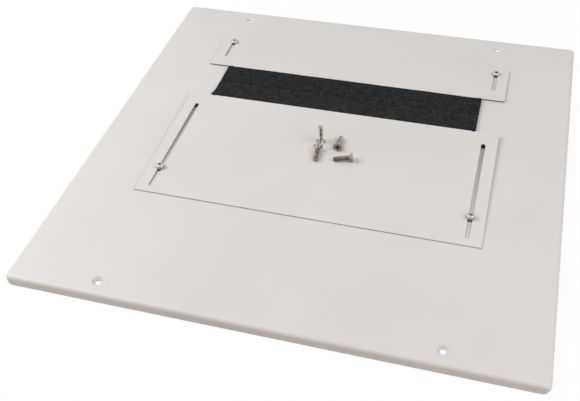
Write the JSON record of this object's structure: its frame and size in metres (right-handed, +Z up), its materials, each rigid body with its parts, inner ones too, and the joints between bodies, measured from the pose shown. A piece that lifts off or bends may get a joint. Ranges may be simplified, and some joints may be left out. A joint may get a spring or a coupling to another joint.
{
  "type": "enclosure top plate",
  "caption": "Square folded sheet-metal top plate with a cable opening under slotted sliding covers with foam strips, clamp screws and loose countersunk fixing screws.",
  "frame": {"origin": "centre of the plate, at the level of the flange rims that it rests on", "axes": "+Z up through the plate's painted face, +X along the cover plates and +Y across them, from the deep front cover towards the shallow rear cover"},
  "size_m": [0.6, 0.6, 0.0416],
  "materials": {
    "painted_sheet": "light warm grey powder coat, fine texture, semi-gloss",
    "black_foam": "matt open-cell foam",
    "zinc_plated_steel": "bright bluish zinc plating",
    "spring_steel": "dull zinc plating",
    "stainless_steel": "plain stainless steel"
  },
  "bodies": {
    "plate": {"top_plate": "painted_sheet", "clamp_screw_front_left": "zinc_plated_steel", "clamp_screw_front_right": "zinc_plated_steel", "clamp_screw_rear_left": "zinc_plated_steel", "clamp_screw_rear_right": "zinc_plated_steel", "caged_nut_front_left": "zinc_plated_steel", "caged_nut_front_right": "zinc_plated_steel", "caged_nut_rear_left": "zinc_plated_steel", "caged_nut_rear_right": "zinc_plated_steel", "nut_cage_front_left": "spring_steel", "nut_cage_front_right": "spring_steel", "nut_cage_rear_left": "spring_steel", "nut_cage_rear_right": "spring_steel"},
    "front_slider": {"front_cover": "painted_sheet", "front_foam_strip": "black_foam", "front_cover_seal": "black_foam", "fixing_screw_standing": "stainless_steel", "fixing_screw_left": "stainless_steel", "fixing_screw_middle": "stainless_steel", "fixing_screw_right": "stainless_steel"},
    "rear_slider": {"rear_cover": "painted_sheet", "rear_foam_strip": "black_foam"}
  },
  "joints": [
    {"name": "front_cover_slide", "type": "slide", "parent": "plate", "child": "front_slider", "axis": [0, 1, 0], "range_m": [-0.1331, 0.0321], "deforming": ["front_foam_strip", "front_cover_seal"]},
    {"name": "rear_cover_slide", "type": "slide", "parent": "plate", "child": "rear_slider", "axis": [0, 1, 0], "range_m": [-0.0029, 0.0359], "deforming": ["rear_foam_strip"]}
  ]
}
